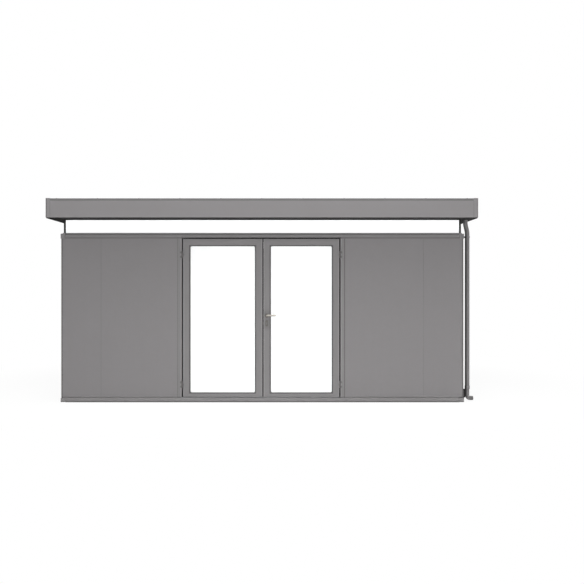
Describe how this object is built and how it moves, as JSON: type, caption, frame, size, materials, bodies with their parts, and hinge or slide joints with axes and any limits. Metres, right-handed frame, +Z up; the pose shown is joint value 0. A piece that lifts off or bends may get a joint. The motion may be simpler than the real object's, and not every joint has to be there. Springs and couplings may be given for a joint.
{
  "type": "metal shed",
  "caption": "Flat-roofed metal shed with insulated panel walls, glazed double doors opening outward, a glazed band under a deep fascia and a side downpipe; stands on its base frame.",
  "frame": {"origin": "on the ground under the middle of the base frame, at the underside of the middle floor joist", "axes": "+X to the right as one faces the doors, -Y out through the doors, +Z up"},
  "size_m": [5.285, 3.264, 2.513],
  "materials": {
    "panel_paint": "satin grey coil coating",
    "frame_paint": "satin grey powder coating",
    "roof_paint": "satin grey coil coating",
    "shadow_trim": "matt dark grey",
    "inner_white": "satin white",
    "opal_glass": "opal, satin",
    "bead": "matt dark grey",
    "hinge_paint": "satin dark grey",
    "stainless": "brushed",
    "galvanised": "dull galvanised",
    "floor_board": "coated plywood"
  },
  "bodies": {
    "shed": {"base_rails": "frame_paint", "base_corners": "frame_paint", "floor_joists": "galvanised", "floor_panel": "floor_board", "wall_tracks": "shadow_trim", "threshold": "galvanised", "corner_posts": "frame_paint", "front_wall_left": "panel_paint", "front_wall_right": "panel_paint", "back_wall": "panel_paint", "left_wall": "panel_paint", "right_wall": "panel_paint", "wall_joint_strips": "inner_white", "left_jamb": "frame_paint", "right_jamb": "frame_paint", "door_stops": "frame_paint", "jamb_hinges": "hinge_paint", "wall_caps": "frame_paint", "ring_beams": "frame_paint", "ring_beam_corners": "frame_paint", "band_posts": "shadow_trim", "band_panes": "opal_glass", "band_trims": "shadow_trim", "soffit": "frame_paint", "ceiling": "inner_white", "fascias": "roof_paint", "fascia_corners": "roof_paint", "roof_deck": "roof_paint", "roof_seams": "roof_paint", "swan_neck": "frame_paint", "downpipe": "frame_paint", "downpipe_shoe": "frame_paint", "pipe_brackets": "shadow_trim"},
    "left_door": {"left_door_stiles": "frame_paint", "left_door_rails": "frame_paint", "left_door_beads": "bead", "left_door_pane": "opal_glass", "left_door_hinges": "hinge_paint"},
    "right_door": {"right_door_stiles": "frame_paint", "right_door_rails": "frame_paint", "right_door_beads": "bead", "right_door_pane": "opal_glass", "right_door_hinges": "hinge_paint", "lock_plates": "stainless"},
    "lever": {"lever_handles": "stainless", "lever_spindle": "stainless"}
  },
  "joints": [
    {"name": "left_door_swing", "type": "hinge", "parent": "shed", "child": "left_door", "pos_m": [-0.992, -1.504, 1], "axis": [0, 0, -1], "range_deg": [0, 110]},
    {"name": "right_door_swing", "type": "hinge", "parent": "shed", "child": "right_door", "pos_m": [0.962, -1.504, 1], "axis": [0, 0, 1], "range_deg": [0, 110]},
    {"name": "lever_turn", "type": "hinge", "parent": "right_door", "child": "lever", "pos_m": [0.0545, -1.4695, 1.074], "axis": [0, 1, 0], "range_deg": [0, 40], "stiffness_Nm_per_rad": 1, "springref_deg": -20.05}
  ]
}
